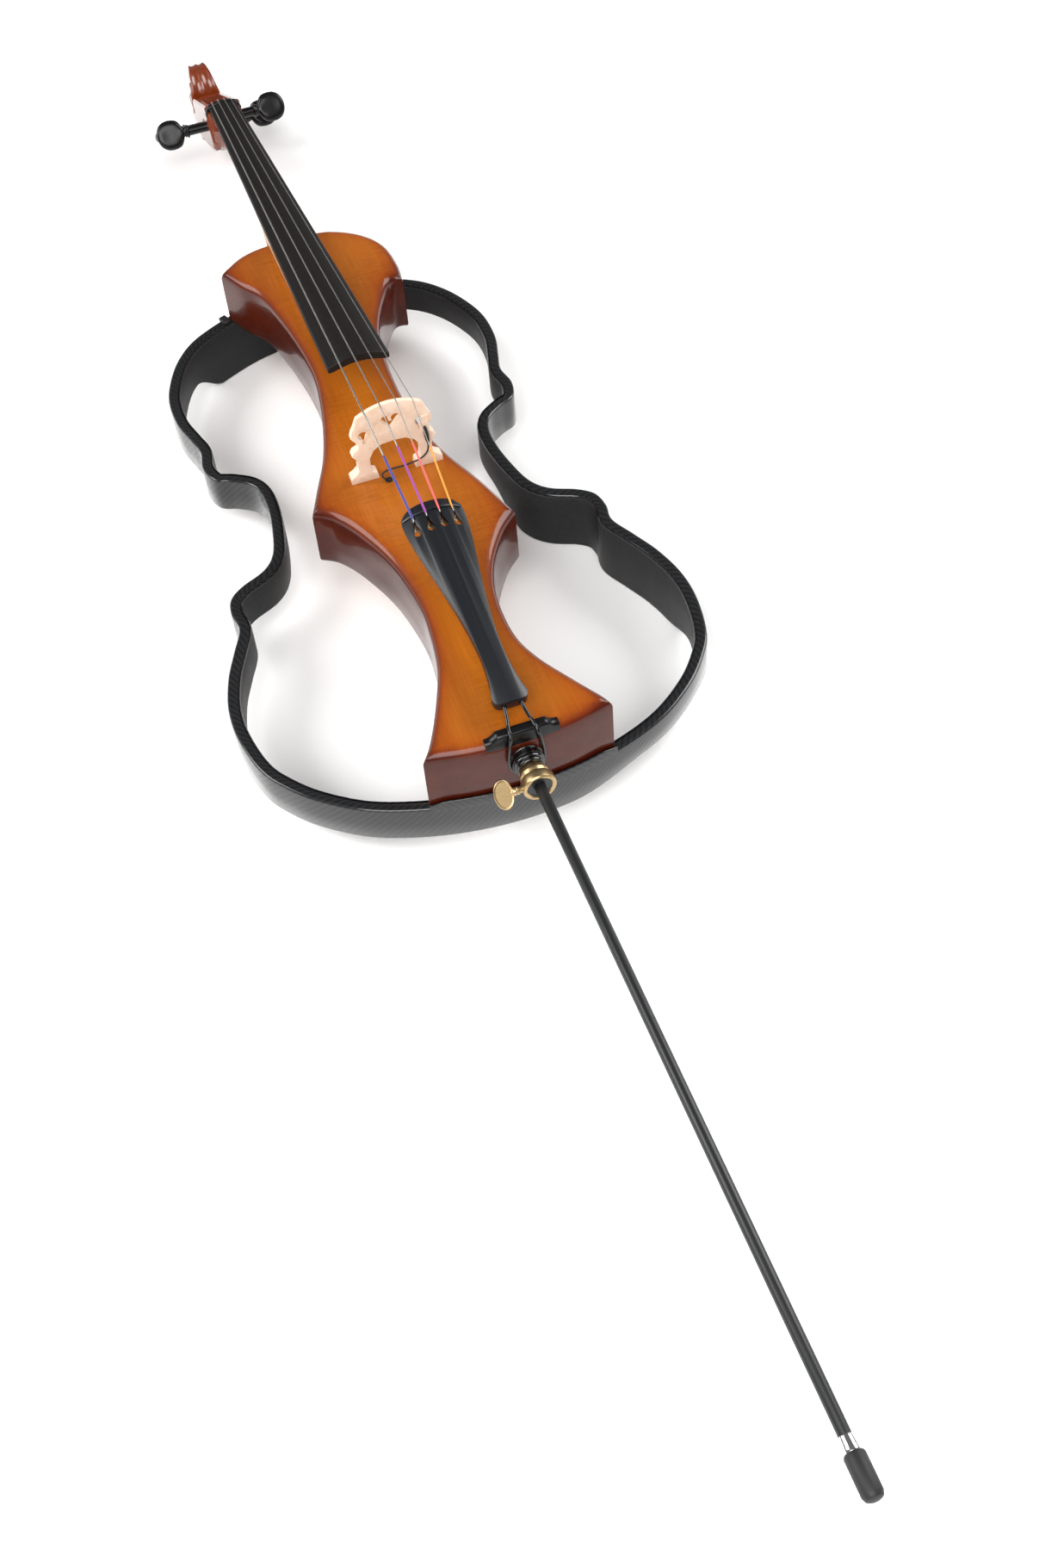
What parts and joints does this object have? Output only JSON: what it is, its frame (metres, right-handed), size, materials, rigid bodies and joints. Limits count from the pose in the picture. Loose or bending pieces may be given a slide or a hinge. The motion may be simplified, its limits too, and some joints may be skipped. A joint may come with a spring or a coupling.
{
  "type": "electric cello",
  "caption": "Electric cello: slim flamed-maple core in a carbon-fibre outline frame, with a neck, four tuning pegs, bridge, tailpiece, and a sliding endpin locked by a thumb screw.",
  "frame": {"origin": "middle of the plan, on the plane that the frame's lowest edges touch when the cello lies on its back", "axes": "+X to the treble side (highest string), +Y from the endpin to the scroll, +Z out of the front, through the strings"},
  "size_m": [0.4446, 1.8972, 0.218],
  "materials": {
    "amber_maple": "gloss lacquer over flamed maple",
    "carbon_twill": "gloss clear coat over carbon twill",
    "black_moulding": "matte moulded",
    "steel_screws": "plain machined",
    "neck_maple": "satin oiled maple, stained red-brown on the head",
    "black_board": "matte, sanded along the grain",
    "ebony": "satin polished",
    "bridge_maple": "bare planed maple",
    "tailpiece_black": "satin",
    "tail_cord": "gloss",
    "string_steel": "flat wound",
    "silk_blue": "thread wrap",
    "silk_purple": "thread wrap",
    "silk_coral": "thread wrap",
    "silk_amber": "thread wrap",
    "brass": "satin turned",
    "cable_black": "satin",
    "gloss_black": "gloss",
    "rubber_black": "satin",
    "carbon_rod": "satin wrapped carbon tube",
    "ferrule_chrome": "polished",
    "battery_shell": "printed sleeve, plain",
    "circuit_board": "solder mask"
  },
  "bodies": {
    "root": {"body_core": "amber_maple", "carbon_frame": "carbon_twill", "frame_brackets": "black_moulding", "frame_bolts": "steel_screws", "neck": "neck_maple", "neck_bolts": "steel_screws", "fingerboard": "black_board", "nut": "ebony", "bridge": "bridge_maple", "tailpiece": "tailpiece_black", "tailpiece_fret": "tailpiece_black", "tail_cord": "tail_cord", "saddle": "ebony", "string_c": "string_steel", "string_g": "string_steel", "string_d": "string_steel", "string_a": "string_steel", "silk_c": "silk_blue", "silk_g": "silk_purple", "silk_d": "silk_coral", "silk_a": "silk_amber", "ball_ends": "brass", "pickup_element": "bridge_maple", "pickup_sleeve": "cable_black", "pickup_cable": "cable_black", "cable_grommet": "cable_black", "endpin_socket": "gloss_black", "endpin_rings": "rubber_black", "endpin_holder": "brass", "holder_insert": "black_moulding", "control_cover": "black_moulding", "cover_screws": "steel_screws", "battery_cover": "black_moulding", "battery": "battery_shell", "preamp_board": "circuit_board", "volume_pot": "steel_screws", "tone_pot": "steel_screws", "output_jack": "ferrule_chrome", "jack_nut": "ferrule_chrome"},
    "endpin": {"endpin_rod": "carbon_rod", "endpin_ferrule": "ferrule_chrome", "endpin_tip": "rubber_black"},
    "thumb": {"thumb_screw": "brass"},
    "tuner_c": {"peg_c": "ebony", "winding_c": "string_steel"},
    "tuner_g": {"peg_g": "ebony", "winding_g": "string_steel"},
    "tuner_d": {"peg_d": "ebony", "winding_d": "string_steel"},
    "tuner_a": {"peg_a": "ebony", "winding_a": "string_steel"},
    "volume": {"volume_knob": "black_moulding"},
    "tone": {"tone_knob": "black_moulding"}
  },
  "joints": [
    {"name": "endpin_slide", "type": "slide", "parent": "root", "child": "endpin", "axis": [0, 1, 0], "range_m": [0, 0.58]},
    {"name": "thumb_screw_turn", "type": "hinge", "parent": "root", "child": "thumb", "pos_m": [-0.02, -0.31256, 0.109], "axis": [-1, 0, 0], "range_deg": [0, 540]},
    {"name": "peg_c_turn", "type": "hinge", "parent": "root", "child": "tuner_c", "pos_m": [0, 0.78098, 0.09291], "axis": [-1, 0, 0], "continuous": true},
    {"name": "peg_g_turn", "type": "hinge", "parent": "root", "child": "tuner_g", "pos_m": [0, 0.83092, 0.06299], "axis": [-1, 0, 0], "continuous": true},
    {"name": "peg_d_turn", "type": "hinge", "parent": "root", "child": "tuner_d", "pos_m": [0, 0.85254, 0.048], "axis": [1, 0, 0], "continuous": true},
    {"name": "peg_a_turn", "type": "hinge", "parent": "root", "child": "tuner_a", "pos_m": [0, 0.80163, 0.08506], "axis": [1, 0, 0], "continuous": true},
    {"name": "volume_turn", "type": "hinge", "parent": "root", "child": "volume", "pos_m": [0, -0.07056, 0.058], "axis": [0, 0, -1], "range_deg": [-150, 150]},
    {"name": "tone_turn", "type": "hinge", "parent": "root", "child": "tone", "pos_m": [0, -0.10556, 0.058], "axis": [0, 0, -1], "range_deg": [-150, 150]}
  ]
}
